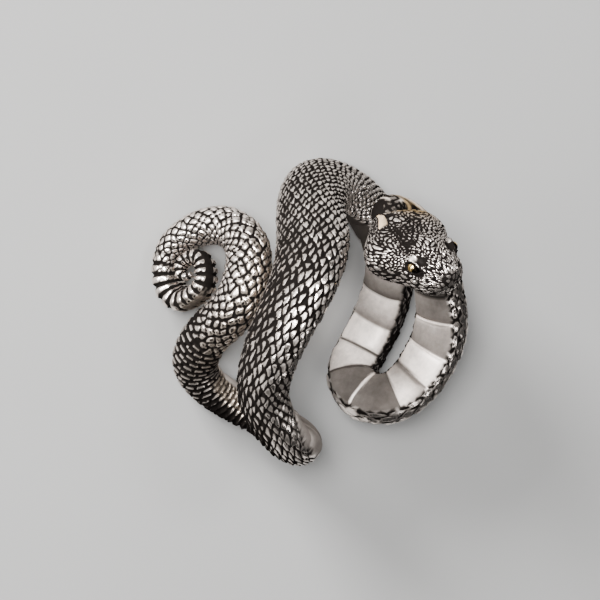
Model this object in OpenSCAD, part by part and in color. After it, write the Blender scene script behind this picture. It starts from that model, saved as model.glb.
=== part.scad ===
// Snake ring: an open band made as a viper that wraps the finger, tail coiled flat on one side,
// head lying on the band. It is modelled lying on its side, as it rests on a table.
// Lengths are millimetres and angles are degrees.

/* [Band] */
// finger hole across, from belly to belly
bore_d = 17.6; // [16.6:0.1:20]
// body sections against the drawn ones
body_scale = 1; // [0.92:0.01:1.03]
// height of a raised scale above the groove round it
scale_relief = 0.26; // [0.1:0.02:0.36]
// step at the free edge of a belly plate
plate_step = 0.2; // [0.06:0.02:0.3]
// height of a ring ridge on the tail coil
ridge_relief = 0.24; // [0.1:0.02:0.3]

/* [Head] */
// head length from the nape to the snout
head_len = 9.6; // [9:0.1:10]
// head width over the cheeks
head_w = 8.1; // [7.2:0.1:8.4]
// eye bead across
eye_d = 1.1; // [0.9:0.05:1.2]
// height of the small scales on the crown and cheeks
head_relief = 0.14; // [0.04:0.02:0.2]
// height of a brow ridge over the eye
brow_ridge = 0.25; // [0.1:0.05:0.35]
// depth of the crease between the crown and a cheek
cheek_crease = 0.35; // [0.1:0.05:0.45]
// depth of the mouth line
mouth_groove = 0.16; // [0.06:0.02:0.24]
// clear space behind an eye bead in its socket
eye_gap = 0.3; // [0.25:0.01:0.4]

/* [Hidden] */
around = 24;          // points round a section, the first on the ridge of the back
belly_at = 8;         // points from here to the far side's twin carry belly plates
plate_rings = 4;      // sections a belly plate takes
fine = 8;             // steps a span when the path is drawn
scale_lean = 0.25;    // how far a scale's high point leans to the tail, against the pitch

// Tail coil, from the tip outwards, in turn angle about the coil's centre (0 points along the finger
// hole towards the head side) and distance from it.
coil_angle = 14.5;
coil_along = -7.05;
// [turn, distance, width, thickness, lift off the finger]
COIL = [
    [733, 0.80, 0.45, 0.65, 2.45],
    [648, 0.52, 0.75, 1.05, 2.30],
    [555, 0.60, 0.95, 1.40, 2.05],
    [487, 1.12, 1.10, 1.75, 1.70],
    [430, 2.00, 1.50, 2.15, 1.30],
    [361, 2.12, 1.66, 2.40, 1.05],
    [309, 2.26, 1.72, 2.60, 0.90],
    [273, 2.88, 2.05, 2.75, 0.75],
    [232, 2.66, 2.25, 2.95, 0.60],
    [158, 3.04, 2.40, 3.10, 0.50],
    [104, 4.60, 3.10, 3.30, 0.40],
    [78, 5.96, 3.60, 3.45, 0.25],
    [47, 6.20, 3.95, 3.55, 0.12],
    [0, 5.72, 4.15, 3.55, 0.12]
];

// Body from the coil to the neck: angle round the finger, place along it, width, thickness, lift, roll.
// [angle, along, width, thickness, lift, roll]
BODY = [
    [40, -3.58, 4.05, 3.55, 0.05, 0],
    [60, -4.90, 4.00, 3.50, 0.05, 0],
    [73, -4.80, 4.10, 3.45, 0.03, 0],
    [85, -4.15, 4.25, 3.40, 0.00, 0],
    [96, -2.90, 4.45, 3.45, 0.00, 0],
    [104, -1.10, 4.60, 3.55, 0.00, 0],
    [107, 0.95, 4.75, 3.60, 0.00, 0],
    [104.5, 3.05, 4.85, 3.70, 0.00, 0],
    [97, 4.60, 4.95, 3.75, 0.00, 0],
    [86, 5.15, 4.95, 3.80, 0.00, 0],
    [72, 4.65, 4.80, 3.85, 0.00, 0],
    [53, 3.65, 4.75, 3.90, 0.00, 0],
    [29, 3.72, 5.15, 3.90, 0.00, 0],
    [5, 3.80, 5.70, 3.90, 0.00, 0],
    [-15, 3.05, 6.25, 3.90, 0.00, 0],
    [-32, 1.00, 6.45, 3.90, 0.00, 0],
    [-50, -2.35, 5.98, 4.00, 0.00, 0],
    [-70, -4.20, 5.90, 4.10, 0.02, 0],
    [-90, -3.85, 5.60, 4.10, 0.16, 0],
    [-110, -2.15, 5.10, 3.90, 0.15, 0],
    [-125, -0.80, 4.65, 3.75, 0.05, 0],
    [-140, -0.25, 4.60, 3.75, 0.05, 0],
    [-158, -0.05, 4.65, 3.75, 0.05, 0],
    [-174, 0.05, 4.65, 3.75, 0.05, 0],
    [-185, 0.12, 4.60, 3.75, 0.05, 0],
    [-193.5, 0.60, 4.60, 3.75, 0.05, 0],
    [-199.5, 1.70, 4.65, 3.75, 0.05, 0],
    [-201.5, 3.25, 4.65, 3.75, 0.05, 0],
    [-199, 4.75, 4.65, 3.75, 0.05, 0],
    [-192.5, 5.85, 4.70, 3.75, 0.05, 0],
    [-183, 6.42, 4.85, 3.75, 0.05, 0],
    [-172, 6.66, 5.00, 3.75, 0.05, 0],
    [-159, 6.72, 5.10, 3.75, 0.05, 0],
    [-146, 6.28, 4.95, 3.75, 0.05, 0],
    [-128, 5.25, 4.60, 3.65, 0.10, 0],
    [-111, 4.40, 4.10, 3.55, 0.20, 0],
    [-97, 3.55, 3.75, 3.40, 0.85, 0],
    [-85, 3.00, 3.55, 3.30, 1.35, 4],
    [-74.5, 2.95, 3.45, 3.30, 1.45, 12],
    [-67.5, 3.65, 3.45, 3.30, 1.25, 18]
];

// Head sections along its length, which is 1: half width of 1 at the cheeks, height of the crown and
// depth of the jaw in mm, and how much the crown narrows.
// [place, half width, crown, jaw, narrowing]
HEAD = [
    [0.00, 0.44, 1.60, 1.65, 0.00],
    [0.08, 0.62, 1.92, 1.95, 0.05],
    [0.17, 0.86, 2.12, 2.25, 0.12],
    [0.28, 1.00, 2.30, 2.50, 0.20],
    [0.40, 0.97, 2.39, 2.55, 0.25],
    [0.51, 0.83, 2.46, 2.45, 0.22],
    [0.62, 0.70, 2.54, 2.20, 0.12],
    [0.74, 0.62, 2.28, 2.07, 0.10],
    [0.85, 0.53, 1.83, 1.84, 0.10],
    [0.93, 0.42, 1.44, 1.47, 0.10],
    [0.98, 0.27, 1.00, 0.98, 0.10],
    [1.00, 0.10, 0.37, 0.37, 0.00]
];
head_angle = -59;     // round the finger, at the nape
head_lift = 2.63;     // of the nape's centre above the belly
head_along = 4.58;    // along the finger, at the nape
head_dir = [0.078, 0.113, 0.987];
head_up_angle = -39;  // the crown looks this way round the finger
eye_place = 0.71;     // along the head
eye_turn = 62;        // from the crown round the section

// Drawing helpers: a smooth curve through the rows of a table.
function norml(v) = v / norm(v);
function catmull(a, b, c, d, t) =
    0.5 * (2 * b + (c - a) * t + (2 * a - 5 * b + 4 * c - d) * t * t + (3 * b - a - 3 * c + d) * t * t * t);
function drawn(rows, steps) = let(
        n = len(rows),
        k = concat([2 * rows[0] - rows[1]], rows, [2 * rows[n - 1] - rows[n - 2]]))
    concat(
        [for (i = [1 : n - 1], j = [0 : steps - 1])
            catmull(k[i - 1], k[i], k[i + 1], k[i + 2], j / steps)],
        [rows[n - 1]]);

// Path of the body from the tail tip to the neck, and its even sections.
coil_r = bore_d / 2 + 2.8;
STATIONS = concat(
    [for (c = COIL) [
        coil_angle - c[1] * sin(c[0]) / coil_r * 180 / PI,
        coil_along + c[1] * cos(c[0]), c[2], c[3], c[4], 0]],
    BODY);
LINE = drawn(STATIONS, fine);
function centre_r(s) = bore_d / 2 + body_scale * 0.44 * s[3] + s[4];
function at(s) = [centre_r(s) * cos(s[0]), centre_r(s) * sin(s[0]), s[1]];
function pitch_at(s) = 0.28 + 0.076 * s[2];
// each drawn point's count of sections from the tip
function stride(i) = i + 1 < len(LINE) ? norm(at(LINE[i + 1]) - at(LINE[i])) / pitch_at(LINE[i]) : 0;
COUNT = [for (i = 0, a = 0; i < len(LINE); a = a + stride(i), i = i + 1) a];
sections = floor(COUNT[len(COUNT) - 1]);
function column(c) = [for (i = [0 : len(LINE) - 1]) [COUNT[i], LINE[i][c]]];
COLS = [for (c = [0 : 5]) column(c)];
even_step = COUNT[len(COUNT) - 1] / sections;
EVEN = [for (k = [0 : sections]) [for (c = [0 : 5]) lookup(k * even_step, COLS[c])]];
function eased(rows, times) = times == 0 ? rows : eased(concat([rows[0]],
    [for (k = [1 : len(rows) - 2]) 0.25 * rows[k - 1] + 0.5 * rows[k] + 0.25 * rows[k + 1]],
    [rows[len(rows) - 1]]), times - 1);
ROWS = eased(EVEN, 3);

// Sections of the body.
function lobe(c, p) = sign(c) * pow(abs(c), p);
// how far a point of the skin stands proud: scales on the back, plates on the belly, ridges on the tail
function proud(i, j) = let(
        jj = j > around / 2 ? around - j : j,
        w = ROWS[i][2],
        tail = max(0, min(1, (2.9 - w) / 0.5)),
        scale = ((i + j) % 2 == 0 ? 0.5 : -0.5) * scale_relief * min(1, w / 4),
        ridge = (i % 2 == 0 ? 0.5 : -0.5) * ridge_relief * min(1, w / 1.6),
        plate = plate_step * ((i % plate_rings) / (plate_rings - 1) - 0.5) * min(1, w / 4))
    jj >= belly_at ? (1 - tail) * plate + tail * ridge : (1 - tail) * scale + tail * ridge;
function section(i) = let(
        s = ROWS[i], p = at(s),
        a = at(ROWS[max(i - 1, 0)]), b = at(ROWS[min(i + 1, sections)]),
        t = norml(b - a),
        r0 = [cos(s[0]), sin(s[0]), 0],
        r1 = norml(r0 - (r0 * t) * t),
        b1 = cross(t, r1),
        up = r1 * cos(s[5]) + b1 * sin(s[5]),
        side = cross(t, up),
        w = s[2] * body_scale, h = s[3] * body_scale)
    [for (j = [0 : around - 1]) let(
            q = 360 * j / around, c = cos(q), n = sin(q),
            back = (i + j) % 2 == 0 && c > -0.3 && s[2] > 3 ? scale_lean * pitch_at(s) : 0,
            y = c > 0 ? 0.56 * h * pow(c, 0.95) : -0.44 * h * pow(-c, 0.72),
            x = 0.5 * w * lobe(n, 0.92),
            out = norml([n / w, c / h]))
        p - t * back + side * (x + out[0] * proud(i, j)) + up * (y + out[1] * proud(i, j))];

// Head: its place on the band, its sections and its eyes.
head_r = bore_d / 2 + head_lift;
nape = [head_r * cos(head_angle), head_r * sin(head_angle), head_along];
fwd = norml(head_dir);
up0 = [cos(head_up_angle), sin(head_up_angle), 0];
crown = norml(up0 - (up0 * fwd) * fwd);
cheek = cross(fwd, crown);
HLINE = drawn(HEAD, 2);
function head_point(h, q) = let(c = cos(q), n = sin(q),
        y = c > 0 ? h[2] * pow(c, 0.9) : -h[3] * pow(-c, 0.8),
        x = h[1] * head_w / 2 * lobe(n, 0.85) * (1 - h[4] * max(c, 0)))
    nape + fwd * (h[0] * head_len) + cheek * x + crown * y;
function head_row(place) = [for (c = [0 : 4]) lookup(place, [for (h = HLINE) [h[0], h[c]]])];
function eye_seat(side) = head_point(head_row(eye_place), side * eye_turn);
function outward(p) = norml(p - nape - fwd * ((p - nape) * fwd));
function eye_centre(side) = eye_seat(side) - outward(eye_seat(side)) * 0.05;
EYES = [eye_centre(1), eye_centre(-1)];   // the right eye, then the left
// brow ridges, the mouth line and small scales on the crown and cheeks
function head_proud(h, k, j) = let(
        q = j > around / 2 ? 360 - 360 * j / around : 360 * j / around,
        brow = brow_ridge * max(0, 1 - abs(q - 42) / 20) * max(0, 1 - abs(h[0] - 0.74) / 0.16),
        behind = max(0, 1 - abs(h[0] - 0.3) / 0.26),
        lobe_swell = 0.8 * max(0, 1 - abs(q - 52) / 34),
        crease = cheek_crease * behind * (max(0, 1 - abs(q - 17) / 14) - lobe_swell),
        mouth = h[0] > 0.3 ? mouth_groove * max(0, 1 - abs(q - 105) / 10) : 0,
        stud = q < 100 ? ((k + j) % 2 == 0 ? 0.5 : -0.5) * head_relief * min(1, 8 * (1 - h[0])) : 0)
    brow - crease - mouth + stud;
// the sockets are dishes in the head's skin
function dish(p) = let(d = min(norm(p - eye_seat(1)), norm(p - eye_seat(-1))))
    (eye_d / 2 + eye_gap) * max(0, 1 - pow(d / (eye_d * 0.95), 2));
function head_section(k) = let(h = HLINE[k], mid = nape + fwd * (h[0] * head_len))
    [for (j = [0 : around - 1])
        let(p = head_point(h, 360 * j / around), d = dish(p))
        p + norml(p - mid) * ((d > 0 ? 0 : head_proud(h, k, j)) - d)];

// Skin from the tail tip to the snout.
RINGS = concat([for (i = [0 : sections]) section(i)], [for (k = [1 : len(HLINE) - 1]) head_section(k)]);
n_rings = len(RINGS);
tip = at(LINE[0]) - norml(at(LINE[1]) - at(LINE[0])) * 0.15;
snout = nape + fwd * (head_len * 1.005);
LOOSE = concat([for (r = RINGS) for (p = r) p], [tip, snout]);

// The ring lying on its side.
rest_up = norml([0.3848, -0.0040, 0.9230]);   // the ring's direction that looks up when it lies at rest
view = [0.866, 0, 0.5];                   // the ring's direction that looks at the viewer
ry = -norml(view - (view * rest_up) * rest_up);
rx = cross(ry, rest_up);
function laid(p) = [p * rx, p * ry, p * rest_up];
LAID = [for (p = LOOSE) laid(p)];
function low(c) = min([for (p = LAID) p[c]]);
function high(c) = max([for (p = LAID) p[c]]);
shift = [-(low(0) + high(0)) / 2, -(low(1) + high(1)) / 2, -low(2)];
SKIN = [for (p = LAID) p + shift];
// each raised point is the top of a four-sided scale, so a cell is split between its two low corners
function cell(i, j) = let(
        a = i * around + j,
        b = i * around + (j + 1) % around,
        c = b + around,
        d = a + around)
    (i + j) % 2 == 0 ? [[a, d, b], [b, d, c]] : [[a, c, b], [a, d, c]];
FACES = concat(
    [for (i = [0 : n_rings - 2], j = [0 : around - 1]) for (f = cell(i, j)) f],
    [for (j = [0 : around - 1]) [n_rings * around, j, (j + 1) % around]],
    [for (j = [0 : around - 1])
        let(e = (n_rings - 1) * around)
        [n_rings * around + 1, e + (j + 1) % around, e + j]]);

module ring_body()
    color("silver") polyhedron(points = SKIN, faces = FACES, convexity = 12);

module left_eye()
    color("gold") translate(laid(EYES[1]) + shift) sphere(d = eye_d, $fn = 24);

module right_eye()
    color("gold") translate(laid(EYES[0]) + shift) sphere(d = eye_d, $fn = 24);

ring_body();
left_eye();
right_eye();
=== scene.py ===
"""A silver snake ring lying on its side: blackened cast scales, stepped belly plates, a ridged tail coil, gold eyes."""
import math
import bpy
import numpy as np
from mathutils import Matrix, Vector


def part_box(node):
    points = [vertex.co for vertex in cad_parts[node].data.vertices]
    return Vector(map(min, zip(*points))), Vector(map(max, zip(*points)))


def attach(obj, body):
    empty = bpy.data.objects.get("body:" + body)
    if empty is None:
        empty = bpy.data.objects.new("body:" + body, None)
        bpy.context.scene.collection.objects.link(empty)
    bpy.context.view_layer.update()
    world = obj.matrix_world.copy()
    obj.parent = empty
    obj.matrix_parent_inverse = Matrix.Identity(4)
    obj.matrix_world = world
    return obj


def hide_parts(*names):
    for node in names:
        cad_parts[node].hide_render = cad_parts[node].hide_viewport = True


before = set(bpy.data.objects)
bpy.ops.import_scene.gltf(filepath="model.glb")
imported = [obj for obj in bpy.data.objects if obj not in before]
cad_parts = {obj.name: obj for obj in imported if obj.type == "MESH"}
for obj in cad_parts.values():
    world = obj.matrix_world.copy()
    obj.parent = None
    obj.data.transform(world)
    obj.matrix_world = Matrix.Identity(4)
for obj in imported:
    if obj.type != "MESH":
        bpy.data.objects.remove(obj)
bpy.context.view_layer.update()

MM = 0.001

# Sizes in mm and degrees. They are the source's own, but for the scales, which stand 0.02 mm higher here.
BORE = 17.6
SCALE_HEIGHT = 0.28       # top of a scale above the groove round it
PLATE_STEP = 0.2          # step at the free edge of a belly plate
RIDGE = 0.24              # height of a ring ridge on the tail coil
HEAD_LEN = 9.6
HEAD_W = 8.1
EYE_D = 1.1
EYE_GAP = 0.3             # clear space behind an eye bead in its socket
EYE_SINK = 0.05           # a bead's centre lies this far under the head's plain skin
COIL_ANGLE, COIL_ALONG = 14.5, -7.05   # the middle of the tail's coil: round the finger, and along it
COIL = [  # turn, distance, width, thickness, lift
    (733, 0.80, 0.45, 0.65, 2.45), (648, 0.52, 0.75, 1.05, 2.30), (555, 0.60, 0.95, 1.40, 2.05),
    (487, 1.12, 1.10, 1.75, 1.70), (430, 2.00, 1.50, 2.15, 1.30), (361, 2.12, 1.66, 2.40, 1.05),
    (309, 2.26, 1.72, 2.60, 0.90), (273, 2.88, 2.05, 2.75, 0.75), (232, 2.66, 2.25, 2.95, 0.60),
    (158, 3.04, 2.40, 3.10, 0.50), (104, 4.60, 3.10, 3.30, 0.40), (78, 5.96, 3.60, 3.45, 0.25),
    (47, 6.20, 3.95, 3.55, 0.12), (0, 5.72, 4.15, 3.55, 0.12)]
BODY = [  # angle round the finger, along it, width, thickness, lift, roll
    (40, -3.58, 4.05, 3.55, 0.05, 0), (60, -4.90, 4.00, 3.50, 0.05, 0), (73, -4.80, 4.10, 3.45, 0.03, 0),
    (85, -4.15, 4.25, 3.40, 0.00, 0), (96, -2.90, 4.45, 3.45, 0.00, 0), (104, -1.10, 4.60, 3.55, 0.00, 0),
    (107, 0.95, 4.75, 3.60, 0.00, 0), (104.5, 3.05, 4.85, 3.70, 0.00, 0), (97, 4.60, 4.95, 3.75, 0.00, 0),
    (86, 5.15, 4.95, 3.80, 0.00, 0), (72, 4.65, 4.80, 3.85, 0.00, 0), (53, 3.65, 4.75, 3.90, 0.00, 0),
    (29, 3.72, 5.15, 3.90, 0.00, 0), (5, 3.80, 5.70, 3.90, 0.00, 0), (-15, 3.05, 6.25, 3.90, 0.00, 0),
    (-32, 1.00, 6.45, 3.90, 0.00, 0), (-50, -2.35, 5.98, 4.00, 0.00, 0), (-70, -4.20, 5.90, 4.10, 0.02, 0),
    (-90, -3.85, 5.60, 4.10, 0.16, 0), (-110, -2.15, 5.10, 3.90, 0.15, 0), (-125, -0.80, 4.65, 3.75, 0.05, 0),
    (-140, -0.25, 4.60, 3.75, 0.05, 0), (-158, -0.05, 4.65, 3.75, 0.05, 0), (-174, 0.05, 4.65, 3.75, 0.05, 0),
    (-185, 0.12, 4.60, 3.75, 0.05, 0), (-193.5, 0.60, 4.60, 3.75, 0.05, 0), (-199.5, 1.70, 4.65, 3.75, 0.05, 0),
    (-201.5, 3.25, 4.65, 3.75, 0.05, 0), (-199, 4.75, 4.65, 3.75, 0.05, 0), (-192.5, 5.85, 4.70, 3.75, 0.05, 0),
    (-183, 6.42, 4.85, 3.75, 0.05, 0), (-172, 6.66, 5.00, 3.75, 0.05, 0), (-159, 6.72, 5.10, 3.75, 0.05, 0),
    (-146, 6.28, 4.95, 3.75, 0.05, 0), (-128, 5.25, 4.60, 3.65, 0.10, 0), (-111, 4.40, 4.10, 3.55, 0.20, 0),
    (-97, 3.55, 3.75, 3.40, 0.85, 0), (-85, 3.00, 3.55, 3.30, 1.35, 4), (-74.5, 2.95, 3.45, 3.30, 1.45, 12),
    (-67.5, 3.65, 3.45, 3.30, 1.25, 18)]
INTO_HEAD = (-60, 5.2, 2.0, 2.0, 1.1, 24)   # the body's last section, hidden in the head
HEAD = np.array([  # place, half width of 1 at the cheeks, crown, jaw, narrowing
    (0.00, 0.44, 1.60, 1.65, 0.00), (0.08, 0.62, 1.92, 1.95, 0.05), (0.17, 0.86, 2.12, 2.25, 0.12),
    (0.28, 1.00, 2.30, 2.50, 0.20), (0.40, 0.97, 2.39, 2.55, 0.25), (0.51, 0.83, 2.46, 2.45, 0.22),
    (0.62, 0.70, 2.54, 2.20, 0.12), (0.74, 0.62, 2.28, 2.07, 0.10), (0.85, 0.53, 1.83, 1.84, 0.10),
    (0.93, 0.42, 1.44, 1.47, 0.10), (0.98, 0.27, 1.00, 0.98, 0.10), (1.00, 0.10, 0.37, 0.37, 0.00)])
HEAD_ANGLE, HEAD_LIFT, HEAD_ALONG = -59, 2.63, 4.58   # the nape: round the finger, off the bore, and along
HEAD_UP = -39                         # the way the crown looks, round the finger
HEAD_DIR = (0.078, 0.113, 0.987)      # from the nape to the snout
EYE_PLACE, EYE_TURN = 0.71, 62        # share of the head's length, and turn from the crown
REST_UP = (0.3848, -0.0040, 0.9230)   # the ring's direction that looks up when it lies at rest
VIEW = (0.866, 0, 0.5)                # the ring's direction that looks at the viewer
PAINTED_LIGHT_SIDE = np.array([0.860, -0.194, -0.473])   # the side from which painted light falls on the facets: the key lamp's side


def unit(v):
    v = np.asarray(v, float)
    return v / np.linalg.norm(v, axis=-1, keepdims=True)


def along_curve(rows, steps):
    """Catmull-Rom points through the rows of a table, steps to a span."""
    rows = np.asarray(rows, float)
    k = np.vstack([2 * rows[0] - rows[1], rows, 2 * rows[-1] - rows[-2]])
    t = (np.arange(steps) / steps)[None, :, None]
    a, b, c, d = k[:-3, None], k[1:-2, None], k[2:-1, None], k[3:, None]
    pts = 0.5 * (2 * b + (c - a) * t + (2 * a - 5 * b + 4 * c - d) * t * t + (3 * b - a - 3 * c + d) * t ** 3)
    return np.vstack([pts.reshape(-1, rows.shape[1]), rows[-1]])


def smooth(x, lo, hi):
    """0 at lo and 1 at hi, easing between them; lo above hi eases the other way."""
    t = np.clip((x - lo) / (hi - lo), 0, 1)
    return t * t * (3 - 2 * t)


def between(x, start, full, fade, end):
    """1 from full to fade, easing to 0 at start and end."""
    return smooth(x, start, full) * smooth(x, end, fade)


# The path, from the tail's tip to the neck, and its columns.
ANGLE, ALONG, WIDTH, THICK, LIFT, ROLL, STATION = range(7)
COIL_R = BORE / 2 + 2.8      # the tail's coil is laid round the finger at this radius
CENTRE = 0.44                # share of a section's thickness from the belly to its centre line


def path_rows():
    """Rows of the path's columns at even sections, as in the part's source."""
    rows = []
    for a, d, w, h, l in COIL:
        round_finger, along_finger = d * math.sin(math.radians(a)), d * math.cos(math.radians(a))
        rows.append((COIL_ANGLE - math.degrees(round_finger / COIL_R), COIL_ALONG + along_finger, w, h, l, 0))
    rows += BODY + [INTO_HEAD]
    line = along_curve([r + (n,) for n, r in enumerate(rows)], 8)
    gap = np.linalg.norm(np.diff(centres(line), axis=0), axis=1) / (0.28 + 0.076 * line[:-1, WIDTH])
    count = np.concatenate([[0], np.cumsum(gap)])
    n = int(count[-1])
    even = np.array([np.interp(np.arange(n + 1) * count[-1] / n, count, column) for column in line.T]).T
    for _ in range(3):
        even[1:-1] = 0.25 * even[:-2] + 0.5 * even[1:-1] + 0.25 * even[2:]
    return even


def centres(s):
    """Centre points of sections, about the finger's axis."""
    r = BORE / 2 + CENTRE * s[:, THICK] + s[:, LIFT]
    a = np.radians(s[:, ANGLE])
    return np.stack([r * np.cos(a), r * np.sin(a), s[:, ALONG]], 1)


def sample(table, x):
    """Columns of a table at x, by its first column."""
    table = np.asarray(table, float)
    return [np.interp(x, table[:, 0], table[:, c]) for c in range(1, table.shape[1])]


def band_frames(s):
    """Centre, up and side of every section."""
    p = centres(s)
    t = unit(np.vstack([p[1] - p[0], p[2:] - p[:-2], p[-1] - p[-2]]))
    a = np.radians(s[:, ANGLE])
    r0 = np.stack([np.cos(a), np.sin(a), 0 * a], 1)
    r1 = unit(r0 - (r0 * t).sum(1, keepdims=True) * t)
    b1 = np.cross(t, r1)
    roll = np.radians(s[:, ROLL])[:, None]
    up = r1 * np.cos(roll) + b1 * np.sin(roll)
    return p, up, np.cross(t, up)


# Skin of the body by station: half length of a scale in mm, sections to a half length, half scales across the back,
# then the shares of tail ridges, pebbles, tiles with straight free edges, and keeled leaves.
SKIN = [
    (0, 0.42, 4, 16, 1, 0, 0, 0), (8, 0.45, 4, 16, 1, 0, 0, 0), (9.3, 0.42, 4, 15, 0, 1, 0, 0),
    (9.8, 0.42, 3, 15, 0, 1, 0, 0), (13.6, 0.45, 3, 15, 0, 1, 0, 0), (14.0, 0.70, 5, 15, 0, 0, 1, 0),
    (18.5, 0.70, 5, 15, 0, 0, 1, 0), (19.5, 0.60, 3, 19, 0, 0, 0, 1), (22, 0.60, 3, 22, 0, 0, 0, 1),
    (24, 0.64, 4, 23, 0, 0, 0, 1), (27, 0.62, 4, 24, 0, 0, 0, 1), (29, 0.50, 3, 29, 0, 0.1, 0, 0.9),
    (30.5, 0.42, 3, 33, 0, 0.5, 0, 0.5), (33, 0.38, 2, 32, 0, 1, 0, 0), (35, 0.56, 2, 20, 0, 0, 0, 1),
    (39, 0.62, 2, 13, 0, 0, 0, 1), (48, 0.62, 2, 13, 0, 0, 0, 1), (49.5, 0.46, 3, 15, 0, 1, 0, 0),
    (55, 0.46, 2, 14, 0, 1, 0, 0)]
# Belly plates of the far loop: mm from the tail's tip to a plate's edge, how bright that edge is painted, and the
# plate's painted light and shade from there to the next edge.
PLATES = [
    (99.3, 0.15, 0.70, 0.30), (102.3, 0.30, 0.95, 0.42), (105.5, 0.55, 1.00, 0.95), (108.4, 0.30, 0.92, 0.72),
    (111.0, 0.20, 0.32, 0.26), (113.6, 1.00, 0.36, 0.30), (116.7, 0.30, 0.92, 0.45), (119.1, 0.35, 0.85, 1.00),
    (122.1, 0.95, 0.38, 0.62), (125.3, 0.95, 0.34, 0.44)]
PLATE_LEN, LAST_PLATE = 2.9, 3.0     # mm along the other plates, and the far loop's last
# The other plates' painted light and shade, as in PLATES, with how many have them: from the tail to the far loop, and
# after it.
PLATES_BEFORE = [(17, (0.25, 0.90, 0.60)), (6, (0.70, 0.50, 0.34)), (8, (0.25, 0.90, 0.60)), (5, (0.05, 0.14, 0.08))]
PLATES_AFTER = [(12, (0.10, 0.35, 0.20))]
EDGE_ROWS = (-0.14, -0.04, 0.04, 0.14)   # sections added this far from a plate's edge, in mm
BACK = 94            # steps over the scaled back
BELLY = 11           # steps under the belly
BACK_TURN = 118      # the scales reach this far down each flank, in degrees from the ridge
ARC_SAMPLES = 161    # places where the back's arc is measured to spread its points evenly
# Zones where the body is painted darker, brighter or warmer: the stations where each starts, is full, fades and ends,
# and the same across the back, which runs from -0.5 to 0.5; two numbers across are where it starts and is full.
ZONES = {
    "black_bend": ((15.6, 17.6, 18.8, 20.2), (-0.38, -0.20, 0.05, 0.20)),   # the first bend's low, outer side
    "warm_inner_bend": ((15.2, 16.2, 19.0, 20.0), (-0.24, -0.35)),               # and its inner side
    "warm_strand": ((11.0, 12.5, 14.0, 16.0), (0.10, -0.20)),
    "tip": ((20.6, 21.6, 24.0, 25.5), (0.05, 0.22)),                         # the lower turn's end
    "middle_flank": ((23.0, 25.0, 32.0, 34.0), (-0.10, -0.34)),
    "loop_edge": ((39.0, 40.5, 48.0, 49.0), (-0.20, -0.32))}


def chance(i, j, n):
    """A steady number from -1 to 1 for scale i, j."""
    x = np.sin(i * 12.9898 + j * 78.233 + n * 37.719) * 43758.5453
    return 2 * (x - np.floor(x)) - 1


def leaf(u, v, hand):
    """Overlapping leaf-shaped scales with a keel to one hand, their free tips towards the tail: height, and polish with
    painted light and shade.
    """
    p, s = np.floor((u + v) / 2 + 0.5), np.floor((u - v) / 2 + 0.5)
    i, j = p + s, p - s
    a, b = u - i, (v - j) * hand
    border = 1 - np.abs(a) - np.abs(b)
    reach = np.maximum(1 - np.abs(a), 0.15)
    keel = (0.30 + 0.22 * chance(i, j, 1)) * reach
    roof = np.clip(np.minimum((b + reach) / (keel + reach), (reach - b) / (reach - keel)), 0, 1)
    streak = 0.5 + 0.5 * np.sin(9 * b + 3 * a * chance(i, j, 3) + 4 * chance(i, j, 6))
    height = smooth(border, 0.0, 0.22) * (0.22 + 0.62 * roof - 0.24 * a + 0.12 * chance(i, j, 2) - 0.10 * streak)
    # painted shadow: each scale is painted darker towards its base, under the tip of the one before it
    bare_and_lit = smooth(1.05 - a - 0.2 * np.abs(b) + 0.35 * chance(i, j, 4), 0, 0.8)
    # painted light: the keel's broad side is painted lighter, its steep side darker
    facet = 0.2 + 0.8 * smooth(keel - b, -0.08, 0.06)
    polish = smooth(border, 0.02, 0.18) * bare_and_lit * facet * (0.76 + 0.24 * chance(i, j, 9))
    return height, np.clip(1.1 * polish * (1 - 0.35 * streak * (1 - facet)), 0, 1)


def pebble(u, v, jitter=0.22):
    """Flat-topped cells about uneven centres: height and polish, 0 in the grooves."""
    near = np.full(u.shape, 9.0)
    second = np.full(u.shape, 9.0)
    who = np.zeros(u.shape)
    i0, j0 = np.round(u), np.round(v)
    for di in range(-2, 3):
        for dj in range(-2, 3):
            i, j = i0 + di, j0 + dj
            d = np.hypot(u - i - jitter * chance(i, j, 5), v - j - jitter * chance(i, j, 6))
            d = np.where((i + j) % 2 == 0, d, 9.0)
            second = np.where(d < near, near, np.minimum(second, d))
            who = np.where(d < near, chance(i, j, 7), who)
            near = np.minimum(near, d)
    gap = (second - near) / 0.8
    height = (0.7 * smooth(gap, 0.04, 0.5) + 0.3 * smooth(gap, 0, 1.5)) * (0.88 + 0.12 * who)
    return height, smooth(gap, 0.06, 0.72) ** 0.7 * smooth(near, 0.95, 0.62) * (0.90 + 0.10 * who)


def tile(u, v):
    """Short tiles in rows with straight, raised free edges, each row half a tile along from the last."""
    row = np.floor(u)
    a = 1 - (u - row)                       # 1 at the free edge, towards the tail
    x = v / 2 + 0.5 * (row % 2)
    b = 2 * np.abs(x - np.round(x))         # 0 in the middle, 1 between two tiles
    side = smooth(1 - b, 0.04, 0.34)
    height = (0.35 + 0.65 * side) * (0.05 + 0.95 * smooth(a, 0.25, 0.9))
    polish = side * smooth(a, 0.62, 0.86) * (0.9 + 0.1 * chance(row, np.round(x), 8))
    return height, polish


def facing(pts, out):
    """Normals of rows of points, on the side of the outward directions."""
    n = np.cross(np.roll(pts, -1, 1) - np.roll(pts, 1, 1), np.gradient(pts, axis=0))
    n /= np.maximum(np.linalg.norm(n, axis=-1, keepdims=True), 1e-12)
    return n * np.sign((n * out).sum(-1).mean())


def lean_to_painted_light(pts, plain, out):
    """Painted light: how far each face of the skin leans to the lamps' side, against the plain surface under it: 0 to
    1.
    """
    n = facing(pts, out)
    return smooth((n - facing(plain, out)) @ PAINTED_LIGHT_SIDE, -0.30, 0.10) * (0.8 + 0.2 * smooth(n @ PAINTED_LIGHT_SIDE, -0.3, 0.4))


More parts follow.
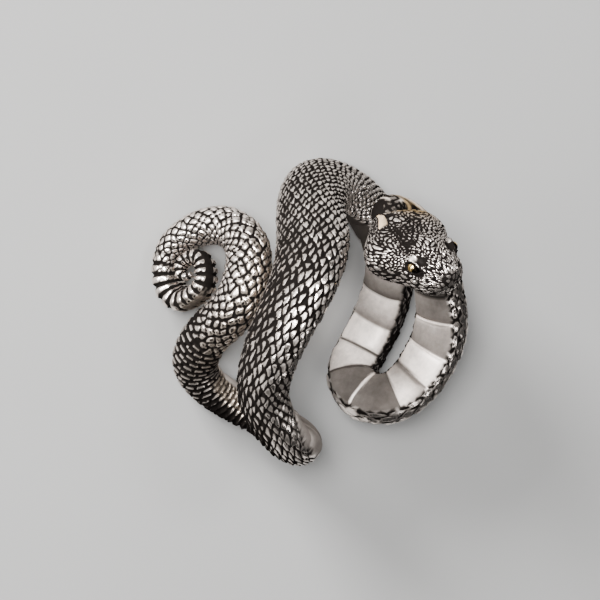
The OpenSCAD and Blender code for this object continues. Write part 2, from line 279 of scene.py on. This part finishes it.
def belly_plates():
    """Edges of all the belly plates, in mm from the tail's tip, and their painted light and shade."""
    before, after = [[plate_shade for n, plate_shade in runs for _ in range(n)] for runs in (PLATES_BEFORE, PLATES_AFTER)]
    edges = ([PLATES[0][0] - PLATE_LEN * k for k in range(len(before), 0, -1)] + [r[0] for r in PLATES]
             + [PLATES[-1][0] + LAST_PLATE + PLATE_LEN * k for k in range(len(after))])
    return np.array(edges), np.array(before + [r[1:] for r in PLATES] + after)


def body_sections():
    """Rows of the path's columns where the skin has points, and their places in half scales and in mm from the tip."""
    fine = along_curve(path_rows(), 12)
    length = np.concatenate([[0], np.cumsum(np.linalg.norm(np.diff(centres(fine), axis=0), axis=1))])
    half = sample(SKIN, fine[:, STATION])[0] * np.clip(fine[:, WIDTH] / 2.2, 0.7, 1)
    count = np.concatenate([[0], np.cumsum(np.diff(length) / half[:-1])])
    starts, steps = [r[0] for r in SKIN], [r[2] for r in SKIN]
    u = []
    for k in range(int(count[-1])):
        m = steps[np.searchsorted(starts, np.interp(k + 0.5, count, fine[:, STATION])) - 1]
        u += [k + i / m for i in range(m)]
    beside = np.add.outer([r[0] for r in PLATES], EDGE_ROWS)
    u = np.sort(np.concatenate([u, [int(count[-1])], np.interp(beside.ravel(), length, count)]))
    rows = np.array([np.interp(u, count, column) for column in fine.T]).T
    return rows, u[:, None], np.interp(u, count, length)[:, None]


def zone(name, st, across):
    """1 inside a zone of the body's wear, easing to 0 outside it."""
    stations, reach = ZONES[name]
    return between(st, *stations) * (smooth if len(reach) == 2 else between)(across, *reach)


def body_mesh():
    """Rows of points from the tail's tip to inside the neck, how far each one stands off the plain band, and masks."""
    rows, u, mm_along = body_sections()
    p, up, side = band_frames(rows)
    st = rows[:, STATION, None]
    slim = 1 - 0.12 * smooth(st, 50, 51.5)     # the neck draws in to the head
    w, h = rows[:, WIDTH, None] * slim, rows[:, THICK, None] * slim

    def outline(turn):
        """Places to the side and up from the centre, and the way out, at turns in degrees from the ridge."""
        c, n = np.cos(np.radians(turn)), np.sin(np.radians(turn))
        y = np.where(c > 0, (1 - CENTRE) * h * np.abs(c) ** 0.95, -CENTRE * h * np.abs(c) ** 0.72)
        return 0.5 * w * np.sign(n) * np.abs(n) ** 0.92, y, unit(np.stack([n / w, c / h], -1))

    # points spread evenly over the back by arc, then under the belly, which comes round further inside the far loop
    more = (16 * between(st, 33, 34.5, 38, 39.5) - 26 * between(st, 29, 30.5, 32.2, 33.2)
            - 26 * smooth(st, 47.5, 49.5) + 34 * between(st, 18.8, 20.5, 23, 25))
    q = -BACK_TURN + (2 * BACK_TURN - more) * np.linspace(0, 1, ARC_SAMPLES)
    x, y, _ = outline(q)
    arc = np.concatenate([np.zeros((len(rows), 1)), np.cumsum(np.hypot(np.diff(x), np.diff(y)), 1)], 1)
    over = np.array([np.interp(np.linspace(0, a[-1], BACK + 1), a, k) for a, k in zip(arc, q)])
    below = BACK_TURN - more + (360 - 2 * BACK_TURN + more) * np.arange(1, BELLY) / BELLY
    turn = np.hstack([over, below])
    x, y, out = outline(turn)
    plain = p[:, None] + side[:, None] * x[..., None] + up[:, None] * y[..., None]
    away = side[:, None] * out[..., :1] + up[:, None] * out[..., 1:]

    # the scales, in a pattern that wanders a little, less at the belly's edge
    column = np.arange(turn.shape[1])[None]
    under = column > BACK
    across = column / BACK - 0.5
    ridge, pebbled, tiled, leafy = sample(SKIN, st + 0.9 * across * smooth(st, 22, 18))[3:7]
    u = u + 0 * across
    v = across * sample(SKIN, st)[2]
    loose = smooth(np.abs(across), 0.5, 0.44)
    ul = u + (0.16 * np.sin(2.1 * v + 0.9 * u + 2) + 0.10 * np.sin(0.7 * v - 1.9 * u)) * loose
    vl = v + (0.16 * np.sin(1.7 * u - 0.6 * v) + 0.10 * np.sin(0.6 * u + 1.3 * v)) * loose
    # the keel's hand turns its side that is painted lighter towards the lamps on each strand
    hand = np.where(st < 19.5, -1, 1)
    kinds = [(pebbled, pebble(ul, vl)), (tiled, tile(u + 0.06 * np.sin(1.3 * v), vl)), (leafy, leaf(ul, vl, hand))]
    total = np.maximum(pebbled ** 3 + tiled ** 3 + leafy ** 3, 1e-6)
    scale, shine = [sum(share ** 3 * kind[n] for share, kind in kinds) / total for n in (0, 1)]

    # ridges of the tail; the inner turn's outer flank is plain and painted dark as shade, with a painted warm
    # reflection where it turns to the light
    wave = 0.5 + 0.5 * np.cos(math.pi * u)
    ring = (1 - (1 - wave) ** 3) * (0.85 + 0.15 * np.cos(v * 2.4))
    inner = between(st, 3.4, 3.9, 6.2, 7.0)
    flank = inner * between(across, -0.37, -0.31, -0.17, -0.09)
    turned = smooth(st, 4.6, 5.6)

    # belly plates: f is the place on a plate, from 0 at one edge to 1 at the next
    edges, plate_shading = belly_plates()
    k = np.searchsorted(edges, mm_along) - 1
    span = edges[k + 1] - edges[k]
    f = (mm_along - edges[k]) / span
    spread = np.linalg.norm(np.gradient(plain, axis=0), axis=-1) / np.gradient(mm_along, axis=0)
    groove = 1 - smooth(np.minimum(f, 1 - f) * span * spread, 0.06, 0.17)
    # painted light and shade: each plate ramps between its two painted tones, and its edge line takes its edge's
    # painted tone
    edge_shade = np.where(f < 0.5, plate_shading[k, 0], plate_shading[np.minimum(k + 1, len(plate_shading) - 1), 0])
    plate_shade = (plate_shading[k, 1] * (1 - f) + plate_shading[k, 2] * f) * (1 - groove) + edge_shade * groove
    plate = np.where(f < 0.92, f / 0.92, (1 - f) / 0.08) * 0.6 + 0.8 * np.sqrt(np.clip(4 * f * (1 - f), 0, 1))

    # how far all of it stands off the plain band
    small = np.clip(w / 4, 0, 1)
    scale_lift = SCALE_HEIGHT * small * (scale - 0.56) * (1 - 0.7 * smooth(np.abs(across), 0.46, 0.5))
    plate_lift = PLATE_STEP * small * (plate - 0.9)
    ring_lift = RIDGE * np.clip(w / 1.6, 0, 1) * (ring - 0.5) * (1 - 0.8 * flank)
    neck = smooth(st, 49.4, 50.2)
    lift = np.where(under, plate_lift, scale_lift) * (1 - 0.8 * neck * smooth(across, 0.26, 0.2))
    lift = (1 - ridge) * lift + ridge * ring_lift
    pts = plain + away * lift[..., None]

    # the low, outer side of the first bend stays black; its inner side is brighter and warm
    tip = zone("tip", st, across)
    # painted shade: the strands from station 13.8 to 26 are painted dimmer, all but the lower turn's end
    dim = (0.38 * between(st, 18, 20, 24, 26) + 0.15 * between(st, 13.8, 14.5, 17.5, 18.5)) * (1 - tip)
    warm_inner = zone("warm_inner_bend", st, across)
    shine = shine * (1 - 0.6 * zone("black_bend", st, across)) + 0.5 * warm_inner * smooth(scale, 0.15, 0.5)
    shine = np.clip(shine, 0, 1) * (1 - dim)
    # painted light: facets that lean to the lamps' side are painted lighter
    lit = 0.3 + 0.7 * lean_to_painted_light(pts, plain, away)
    # painted light: the middle strand's near flank, the tip, the far loop's edge and both arches are painted brightest
    arches = 0.30 * between(st, 30, 32, 35.5, 37) + 0.40 * between(st, 8.5, 9.5, 12.5, 14)
    flanks = [0.45 * zone(n, st, across) for n in ("middle_flank", "tip", "loop_edge")]
    bright = np.maximum.reduce([arches + 0 * across] + flanks) * smooth(scale, 0.2, 0.5)
    lit, shine = lit + bright * (1 - lit), shine + bright * (1 - shine)

    # beside the nape the skin is smooth bronze, painted lighter at its outer rim and darker inward, with painted
    # highlights: a bright ridge, a curl and a thread; the notch behind it is painted black as shadow
    close = smooth(st, 51.9, 52.3)
    beside = between(across, -0.44, -0.32, 0.18, 0.24)
    nape = neck * beside * (1 - 0.8 * close)
    notch_shadow = close * between(across, 0.00, 0.05, 0.23, 0.27)
    glint = np.exp(-((st - 51.12) / 0.5) ** 2 - ((across + 0.12 - 0.13 * (st - 51.12)) / 0.05) ** 2)
    curl_highlight = np.exp(-((np.hypot((st - 52.45) / 0.70, (across + 0.25) / 0.10) - 1) / 0.22) ** 2) * smooth(st, 52.6, 52.3)
    thread_highlight = np.exp(-((st - 52.4 - 1.7 * (0.1 - across)) / 0.09) ** 2) * between(across, -0.08, -0.03, 0.11, 0.15)
    nape_shading = 0.60 - 0.30 * smooth(across, -0.13, -0.22) + 0.05 * np.sin(40 * across + 3 * st)

    wear_and_light = np.where(under, plate_shade, shine * lit * (1 - nape) + nape_shading * nape) * (1 - notch_shadow)
    wear_and_light = np.maximum(np.clip(wear_and_light + 0.8 * glint + 0.8 * curl_highlight + 0.9 * thread_highlight, 0, 1), 0.42 * warm_inner * (1 - under))
    # painted light on the ridges' tops; painted shade on the plain flank, and a painted reflection where it turns
    ring_wear_and_light = smooth(ring, 0.15, 0.85) * lit * (1 - 0.92 * flank) + flank * (0.16 + 0.32 * turned)
    wear_and_light = (1 - ridge) * wear_and_light + ridge * ring_wear_and_light
    # painted shade near the notch, but for the curl and the thread
    wear_and_light = wear_and_light * (1 - 0.4 * close * beside * (1 - np.clip(curl_highlight + thread_highlight, 0, 1)))
    nape_highlights = np.clip(glint + 0.8 * curl_highlight + 0.8 * thread_highlight, 0, 1)
    # the painted highlights take the belly's smoother, brighter finish
    belly = np.maximum(under * (1 - ridge), 0.85 * nape_highlights)
    # the gold tone covers the gold neck band and warm strands, and paints a warm reflection on the coil's turned flank
    gold = 0.45 * warm_inner + 0.30 * zone("warm_strand", st, across) + 0.4 * inner * turned * smooth(across, 0.1, -0.2)
    gold = np.clip(np.maximum(gold, nape * (1 - under)) - 0.75 * glint, 0, 1)
    return pts, lift, {"wear_and_light": wear_and_light, "belly": belly, "gold": gold, "shield": 0 * wear_and_light}


def tube(pts, lift):
    """Closes rows of points into a skin, with each cell split along its gentler diagonal, and a cap at each end."""
    n, m = pts.shape[:2]
    flat = pts.reshape(-1, 3)
    ends = np.array([pts[0].mean(0), pts[-1].mean(0)])
    i, j = [index.ravel() for index in np.meshgrid(np.arange(n - 1), np.arange(m), indexing="ij")]
    j2 = (j + 1) % m
    a, b, c, d = i * m + j, i * m + j2, (i + 1) * m + j2, (i + 1) * m + j
    height = lift.ravel()
    first = (np.abs(height[a] - height[c]) <= np.abs(height[b] - height[d]))[:, None]
    one = np.where(first, np.stack([a, b, c], 1), np.stack([a, b, d], 1))
    two = np.where(first, np.stack([a, c, d], 1), np.stack([b, c, d], 1))
    k = np.arange(m)
    k2 = (k + 1) % m
    tail = np.stack([np.full(m, n * m), k2, k], 1)
    front = np.stack([np.full(m, n * m + 1), (n - 1) * m + k, (n - 1) * m + k2], 1)
    return np.vstack([flat, ends]), np.vstack([one, two, tail, front])


def from_finger(angle):
    """The direction out from the finger's axis at an angle in degrees."""
    return np.array([math.cos(math.radians(angle)), math.sin(math.radians(angle)), 0])


# The head's place on the band: the nape's centre, and the directions of snout, crown and right cheek.
NAPE = from_finger(HEAD_ANGLE) * (BORE / 2 + HEAD_LIFT) + np.array([0, 0, HEAD_ALONG])
FORWARD = unit(HEAD_DIR)
CROWN = unit(from_finger(HEAD_UP) - (from_finger(HEAD_UP) @ FORWARD) * FORWARD)
CHEEK = np.cross(FORWARD, CROWN)
HEAD_ROWS = along_curve(HEAD, 2)
HEAD_POINTS, SNOUT_POINTS = 160, 30   # rows of points from the head's back to the snout, and round the snout's end
HEAD_AROUND = 240                     # points round each row
HEAD_BACK, SNOUT = -0.0995, 0.9       # the shares of the head's length where the rows and the snout's end start


def on_head(place, turn):
    """The plain head's surface at a share of its length from the nape and a turn from the crown to the right cheek."""
    place, turn = np.asarray(place, float), np.asarray(turn, float)
    half, crown, jaw, narrow = sample(HEAD_ROWS, place)
    c, n = np.cos(np.radians(turn)), np.sin(np.radians(turn))
    y = np.where(c > 0, crown * np.abs(c) ** 0.9, -jaw * np.abs(c) ** 0.8)
    x = half * HEAD_W / 2 * np.sign(n) * np.abs(n) ** 0.85 * (1 - narrow * np.maximum(c, 0))
    # the back of the head is rounded off round the neck
    back = np.sqrt(np.clip(1 - (np.clip(0.12 - place, 0, 1) / 0.22) ** 2, 0.0004, 1))
    steps = [(FORWARD, place * HEAD_LEN), (CHEEK, x * back), (CROWN, y * back)]
    return NAPE + sum(way * far[..., None] for way, far in steps)


def eye_seat(turn):
    """An eye's place on the plain head, and the direction it looks in, square to the head's length."""
    seat = on_head(EYE_PLACE, turn)
    away = seat - NAPE
    return seat, unit(away - FORWARD * (away @ FORWARD))


def spot(p, t, place, turn, reach, wide):
    """A soft round mark on the head: 1 at (place, turn), fading over reach along the head and wide round it."""
    return np.exp(-((p - place) / reach) ** 2 - ((t - turn) / wide) ** 2)


def head_scales(P, signed, q, wide, high):
    """Small uneven scales, longer on the cheeks and straight across the snout's front: height, polish and front."""
    long_ = 1.25 + 0.45 * smooth(q, 25, 55) * (1 - smooth(P, 0.45, 0.65))
    x, y = P * HEAD_LEN / (0.27 * long_), signed / 57.3 * 3.1 / 0.22
    x, y = x + 0.7 * np.sin(0.9 * y + 1.2 * np.sin(0.5 * x)), y + 0.8 * np.sin(0.8 * x + 0.9 * np.sin(0.4 * y))
    x, y = 0.8 * x - 0.6 * y + 0.5 * np.sin(0.6 * x), 0.6 * x + 0.8 * y + 0.5 * np.sin(0.5 * x + 0.4 * y)
    height, shine = pebble(x, y, 0.5)
    front = smooth(P, 0.955, 0.975)
    flat, flat_shine = pebble(wide / 0.36 + 0.4 * np.sin(3 * high), high / 0.36 + 0.4 * np.sin(3 * wide), 0.5)
    return height + front * (flat - height), shine + front * (flat_shine - shine), front


def head_mesh():
    """The viper's head, in rows as body_mesh has them: cheek lobes, brow shields, eye sockets, heat pits, lips."""
    end = SNOUT + (1 - SNOUT) * np.sin(np.linspace(0, math.pi / 2, SNOUT_POINTS + 1)[1:])
    place = np.concatenate([np.linspace(HEAD_BACK, SNOUT, HEAD_POINTS), end])
    P, T = np.meshgrid(place, np.arange(HEAD_AROUND) * 360 / HEAD_AROUND, indexing="ij")
    signed = np.where(T > 180, T - 360, T)
    q = np.abs(signed)
    skin = on_head(P, T)
    out = unit(skin - (NAPE + FORWARD * (P * HEAD_LEN)[..., None]))

    # the crease between crown and cheek, the lobe, the smooth brow shield and its ridge, the mouth, nostril and pit
    line = np.interp(P, [0.05, 0.14, 0.26, 0.38, 0.52, 0.62, 0.68], [6, 12, 16, 17, 28, 40, 56])
    crease = smooth(P, 0.03, 0.12) * (1 - smooth(P, 0.58, 0.66)) * np.exp(-((q - line) / 7) ** 2)
    lobe = smooth(P, 0.02, 0.2) * (1 - smooth(P, 0.42, 0.62)) * np.exp(-((q - 56) / 30) ** 2)
    shield = np.clip(1 - ((P - 0.742) / 0.058) ** 2 - ((q - 40) / 11) ** 2, 0, 1)
    brow = np.exp(-((q - 51 - 50 * (P - 0.70)) / 3.2) ** 2) * np.exp(-((P - 0.71) / 0.07) ** 4)
    wedge = spot(P, signed, 0.668, 48, 0.026, 7)
    mouth = smooth(P, 0.25, 0.4) * np.exp(-((q - 121) / 3.5) ** 2)
    nostril = spot(P, q, 0.915, 60, 0.012, 7)
    pit = spot(P, q, 0.79, 66, 0.028, 9)
    # the slanting gold plate behind the cheek, and the notch at the head's back, painted black as shadow
    plate = smooth(np.abs(signed - 10.1 - 71 * P), 9.5, 7.5) * between(P, -0.05, -0.035, 0.175, 0.19)
    notch_shadow = (1 - smooth(P, 0.08, 0.14)) * np.exp(-((signed + 4) / 6) ** 2)

    # scales, two rows of plates along the lips, and the smooth chin
    wide, high = (skin - NAPE) @ CHEEK, (skin - NAPE) @ CROWN
    small, shine, front = head_scales(P, signed, q, wide, high)
    shine = shine * (1 - 0.35 * spot(P, signed, 0.40, 2, 0.13, 20))
    lips = smooth(q, 84, 90) * (1 - smooth(q, 126, 132)) * between(P, 0.10, 0.2, 0.92, 0.96)
    lip, lip_shine = pebble(P * HEAD_LEN / 0.55 + 0.3 * np.sin(signed / 4), (q - 84) / 6, 0.3)
    lip_shine = 0.9 * smooth(lip_shine, 0.55, 0.95)
    chin = smooth(q, 128, 138) * (1 - front) + smooth(-high, 0.8, 1.0) * front
    plain = np.clip(4 * shield + 3 * wedge + brow + 2 * plate + 1.2 * notch_shadow + chin, 0, 1)
    stud = (small * (1 - lips) + lip * lips - 0.6) * (1 - plain)

    lift = 0.20 * stud * smooth(1.0 - P, 0, 0.08) * smooth(P, -0.09, -0.02)
    lift += 0.26 * lobe - 0.16 * crease - 0.10 * shield + 0.26 * brow + 0.14 * wedge - 0.20 * mouth
    lift += 0.16 * plate - 0.25 * nostril - 0.32 * pit - 0.45 * notch_shadow
    polish = (shine * (1 - lips) + lip_shine * lips) * (1 - plain)
    polish += np.clip(3 * wedge + 2 * plate + 0.22 * chin + 0.5 * shield, 0, 1) * plain
    # blackened crease, mouth, nostril and pit; the notch's black is painted shadow
    dark = crease * 0.25 + 1.3 * mouth * smooth(P, 0.95, 0.9) + 1.2 * nostril + 1.4 * pit + 1.3 * notch_shadow
    # painted highlight: a bright spot on the snout's top
    polish = np.clip(polish + 1.2 * brow + 0.8 * spot(P, signed, 0.955, -38, 0.03, 16) - dark, 0, 1)

    # sockets with lids that open on each eye as a short almond; the left eye's hood is higher and darker
    for turn, lid, shade in ((EYE_TURN, 0.16, 0), (-EYE_TURN, 0.26, 0.6)):
        away = skin - eye_seat(turn)[0]
        along = away @ FORWARD
        d = np.sqrt(np.clip((away * away).sum(-1) - along * along, 0, None) * 3.2 + along * along)
        dish = (EYE_D / 2 + EYE_GAP) * smooth(0.80 - d, 0, 0.5)
        lift = lift * (1 - 0.8 * smooth(1.0 - d, 0, 0.5)) - dish + lid * np.exp(-((d - 0.88) / 0.16) ** 2)
        polish = polish * smooth(d, 0.62, 0.9) * (1 - shade * smooth(1.3 - d, 0, 0.4))

    pts = skin + out * lift[..., None]
    # painted light: facets that lean to the lamps' side are painted lighter; plain parts keep their own polish
    lit = (0.25 + 0.75 * lean_to_painted_light(pts, skin, out)) * (1 - plain) + plain
    gold = np.clip(1.5 * spot(P, signed, 0.10, -45, 0.20, 26) + 1.5 * plate, 0, 1) * (1 - np.clip(notch_shadow, 0, 1))
    return pts, lift, {"wear_and_light": polish * lit, "belly": np.clip(0.6 * chin + 0.8 * wedge + 0.9 * plate, 0, 0.9),
                       "gold": gold * (1 - 0.25 * plate), "shield": np.clip(3 * shield, 0, 1)}


# The ring lying on its side, as in the part's source.
UP = unit(REST_UP)
RY = -unit(np.array(VIEW) - (np.array(VIEW) @ UP) * UP)
RX = np.cross(RY, UP)
LAY = np.array([RX, RY, UP])


def find_shift():
    """The source sets the lying ring's box centre on the origin; a packed eye says where that is."""
    seat, away = eye_seat(EYE_TURN)
    lo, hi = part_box("right_eye")
    return (np.array(lo) + np.array(hi)) / 2 / MM - LAY @ (seat - EYE_SINK * away)


SHIFT = find_shift()


def add_piece(name, pts, lift, masks):
    """A visual piece riding the ring's body, with its masks on its points."""
    verts, faces = tube(pts, lift)
    verts = (verts @ LAY.T + SHIFT) * MM
    mesh = bpy.data.meshes.new(name)
    mesh.from_pydata(verts.tolist(), [], faces.tolist())
    mesh.polygons.foreach_set("use_smooth", np.ones(len(faces), bool))
    mesh.update()
    for key, val in masks.items():
        layer = mesh.attributes.new(key, "FLOAT", "POINT")
        full = np.concatenate([val.ravel(), val[0, :1], val[-1, :1]])
        layer.data.foreach_set("value", full.astype(np.float32))
    o = bpy.data.objects.new(name, mesh)
    bpy.context.scene.collection.objects.link(o)
    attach(o, "root")
    print(name, len(faces), "triangles")
    return o


# Finishes.
class Wire:
    """A node's output socket. Sums on it lay down Math nodes."""
    def __init__(self, kit, socket):
        self.kit, self.socket = kit, socket

    def _math(self, op, *args):
        return self.kit.add("ShaderNodeMath", {"operation": op}, dict(enumerate(args)))

    def __add__(self, o): return self._math("ADD", self, o)
    def __radd__(self, o): return self._math("ADD", o, self)
    def __sub__(self, o): return self._math("SUBTRACT", self, o)
    def __rsub__(self, o): return self._math("SUBTRACT", o, self)
    def __mul__(self, o): return self._math("MULTIPLY", self, o)
    def __rmul__(self, o): return self._math("MULTIPLY", o, self)
    def __pow__(self, o): return self._math("POWER", self, o)
    def clamp(self): return self.kit.add("ShaderNodeClamp", {}, {"Value": self})
    def most(self, o): return self._math("MAXIMUM", self, o)


class Finish:
    """A material's nodes: add() makes any node, and the rest are short names for the ones used often."""
    def __init__(self, name):
        self.mat = bpy.data.materials.new(name)
        self.mat.use_nodes = True
        self.tree = self.mat.node_tree
        self.tree.nodes.clear()

    def add(self, kind, settings=None, sockets=None, out=0):
        node = self.tree.nodes.new(kind)
        for key, val in (settings or {}).items():
            setattr(node, key, val)
        for key, val in (sockets or {}).items():
            if isinstance(val, Wire):
                self.tree.links.new(val.socket, node.inputs[key])
            else:
                node.inputs[key].default_value = val
        return Wire(self, node.outputs[out])

    def mask(self, name):
        """A mask kept on the mesh's points."""
        return self.add("ShaderNodeAttribute", {"attribute_name": name}, out="Fac")

    def blend(self, amount, a, b):
        """Colour a, going over to colour b: the Mix node's colour sockets are 6, 7 and output 2."""
        a, b = [x if isinstance(x, Wire) else (*x, 1) for x in (a, b)]
        return self.add("ShaderNodeMix", {"data_type": "RGBA"}, {0: amount, 6: a, 7: b}, out=2)

    def speckle(self, size, detail):
        """Noise with features of this size in mm."""
        where = self.add("ShaderNodeTexCoord", out="Object")
        return self.add("ShaderNodeTexNoise", {}, {"Vector": where, "Scale": 1 / (size * MM), "Detail": detail,
                                                   "Roughness": 0.6})

    def step(self, x, lo, hi):
        """0 at lo and 1 at hi, easing between them."""
        return self.add("ShaderNodeMapRange", {"interpolation_type": "SMOOTHSTEP"}, {0: x, 1: lo, 2: hi})

    def dot(self, a, b):
        return self.add("ShaderNodeVectorMath", {"operation": "DOT_PRODUCT"}, {0: a, 1: b}, out="Value")

    def dents(self, strength, deep, height):
        """A normal bent by dents this deep in mm."""
        return self.add("ShaderNodeBump", {}, {"Strength": strength, "Distance": deep * MM, "Height": height})

    def close(self, **sockets):
        """Ends in a Principled shader with these sockets, and gives the material."""
        shader = self.add("ShaderNodeBsdfPrincipled", {}, {key.replace("_", " "): val for key, val in sockets.items()})
        end = self.tree.nodes.new("ShaderNodeOutputMaterial")
        self.tree.links.new(shader.socket, end.inputs["Surface"])
        return self.mat


def antiqued_silver():
    """Black oxide in the grooves, and metal where the wear mask, with the painted light and shade it carries, is high;
    a smoother finish on the belly.
    """
    f = Finish("antiqued_silver")
    wear_and_light, belly, gold, shield = [f.mask(n) for n in ("wear_and_light", "belly", "gold", "shield")]
    cloud = f.speckle(3.0, 2)
    grit = f.speckle(0.35, 4)
    edge = f.step(wear_and_light + (grit - 0.5) * 0.4 + (cloud - 0.5) * 0.25, 0.34, 0.95)
    plate = (wear_and_light + (grit - 0.5) * 0.3 * wear_and_light + (f.speckle(1.3, 4) - 0.5) * 0.6 * wear_and_light).clamp() ** 1.6
    bare_and_lit = (edge * (1 - belly) + belly * plate).clamp()
    metal = f.blend(cloud, (0.87, 0.762, 0.685), (0.95, 0.862, 0.795))
    metal = f.blend(gold, metal, (0.50, 0.33, 0.15))
    metal = f.blend(shield, metal, (0.040, 0.037, 0.034))
    oxide = f.blend(belly, (0.006, 0.005, 0.0045), (0.040, 0.033, 0.028))
    return f.close(
        Base_Color=f.blend(bare_and_lit, oxide, metal),
        Metallic=f.step(bare_and_lit, 0.0, 0.3).most(belly) - 0.7 * belly * plate,
        Roughness=0.80 - 0.60 * bare_and_lit ** 0.6 + 0.30 * belly + 0.12 * (grit - 0.5),
        Specular_IOR_Level=0.0,
        Normal=f.dents(0.35, 0.03, f.speckle(0.16, 3)))


def eye_gold(name, look, along):
    """A gold bead, painted black as socket shade away from the side it looks to, with a black slit across the middle.
    """
    f = Finish(name)
    where = f.add("ShaderNodeTexCoord", out="Generated")
    middle = f.add("ShaderNodeVectorMath", {"operation": "SUBTRACT"}, {0: where, 1: (0.5, 0.5, 0.5)})
    across = f.dot(middle, along)
    # painted shade: only a cap facing out stays gold
    unshaded_gold = f.step(f.dot(middle, look), 0.385, 0.43) * f.step(across * across, 0.0012, 0.0030)
    cloud = f.speckle(0.5, 3)
    gold = f.blend(cloud, (0.78, 0.50, 0.16), (0.93, 0.70, 0.32))
    return f.close(
        Base_Color=f.blend(unshaded_gold, (0.012, 0.009, 0.006), gold),
        Metallic=1.0,
        Roughness=0.16 + 0.12 * cloud,
        Normal=f.dents(0.2, 0.02, f.speckle(0.12, 2)))


def pale_floor():
    f = Finish("pale_floor")
    return f.close(Base_Color=f.blend(f.speckle(40, 2), (0.35, 0.347, 0.342), (0.38, 0.377, 0.371)), Roughness=0.7)


silver = antiqued_silver()
body = add_piece("scaled_body", *body_mesh())
head = add_piece("viper_head", *head_mesh())
for o in (body, head):
    o.data.materials.append(silver)
    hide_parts("ring_body")
for n, turn in (("left_eye", -EYE_TURN), ("right_eye", EYE_TURN)):
    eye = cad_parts[n]
    eye.data.materials.clear()
    eye.data.materials.append(eye_gold(n + "_gold", tuple(LAY @ eye_seat(turn)[1]), tuple(LAY @ FORWARD)))
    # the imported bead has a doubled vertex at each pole
    eye.modifiers.new("weld", "WELD").merge_threshold = 1e-7
    for poly in eye.data.polygons:
        poly.use_smooth = True

# Floor.
bpy.ops.mesh.primitive_plane_add(size=3, location=(0, 0, 0))
floor = bpy.context.active_object
floor.name = "floor"
floor.data.materials.append(pale_floor())

# Camera, far off with a long lens, because the photo shows next to no perspective.
PHOTO_TURN = math.radians(32)       # the picture is turned this far about the line of sight
PHOTO_PIXELS, PIXELS_MM = 600, 11.2
OFF_CENTRE = 14.2                   # pixels from the picture's centre to the source's origin, right and down
LENS, SENSOR = 500, 36              # mm
toward = LAY @ unit(VIEW)
band_axis, band_side = np.array([-0.5, 0, 0.866]), np.array([0, 1, 0])   # the finger's axis as seen, and across it
right = LAY @ (math.cos(PHOTO_TURN) * band_axis - math.sin(PHOTO_TURN) * band_side)
image_up = -(LAY @ (math.sin(PHOTO_TURN) * band_axis + math.cos(PHOTO_TURN) * band_side))
target = (SHIFT + (image_up - right) * OFF_CENTRE / PIXELS_MM) * MM
distance = PHOTO_PIXELS / PIXELS_MM * MM * LENS / SENSOR
cam = bpy.data.objects.new("camera", bpy.data.cameras.new("camera"))
bpy.context.scene.collection.objects.link(cam)
cam.data.lens, cam.data.sensor_width = LENS, SENSOR
cam.data.clip_start, cam.data.clip_end = 0.05, 10
m = Matrix(np.array([unit(right), unit(image_up), unit(toward)]).T.tolist()).to_4x4()
m.translation = Vector(target + toward * distance)
cam.matrix_world = m
bpy.context.scene.camera = cam


# Lights.
def softbox(name, place, dist, size, watts):
    """An area light facing the ring from place: to the viewer's right, up and back towards the viewer."""
    light = bpy.data.lights.new(name, "AREA")
    light.shape, light.size, light.size_y, light.energy = "RECTANGLE", size[0], size[1], watts
    o = bpy.data.objects.new(name, light)
    bpy.context.scene.collection.objects.link(o)
    back = Vector(unit(right * place[0] + image_up * place[1] + toward * place[2]))
    o.location = back * dist + Vector((0, 0, 0.01))
    o.rotation_mode = "QUATERNION"
    o.rotation_quaternion = back.to_track_quat("Z", "Y")
    o.visible_camera = False


softbox("key", (-0.35, 0.45, 0.82), 0.5, (0.13, 0.11), 8.6)
softbox("front", (-0.08, 0.05, 0.99), 0.6, (0.12, 0.12), 6.0)
softbox("left", (-0.70, 0.10, 0.70), 0.5, (0.16, 0.20), 1.6)
softbox("right", (0.60, 0.30, 0.74), 0.6, (0.20, 0.12), 0.9)
softbox("low", (0.40, -0.65, 0.65), 0.6, (0.20, 0.12), 0.7)
world = bpy.data.worlds.new("studio")
bpy.context.scene.world = world
world.use_nodes = True
sky = world.node_tree.nodes["Background"].inputs
sky["Color"].default_value = (0.8, 0.82, 0.85, 1)
sky["Strength"].default_value = 0.04
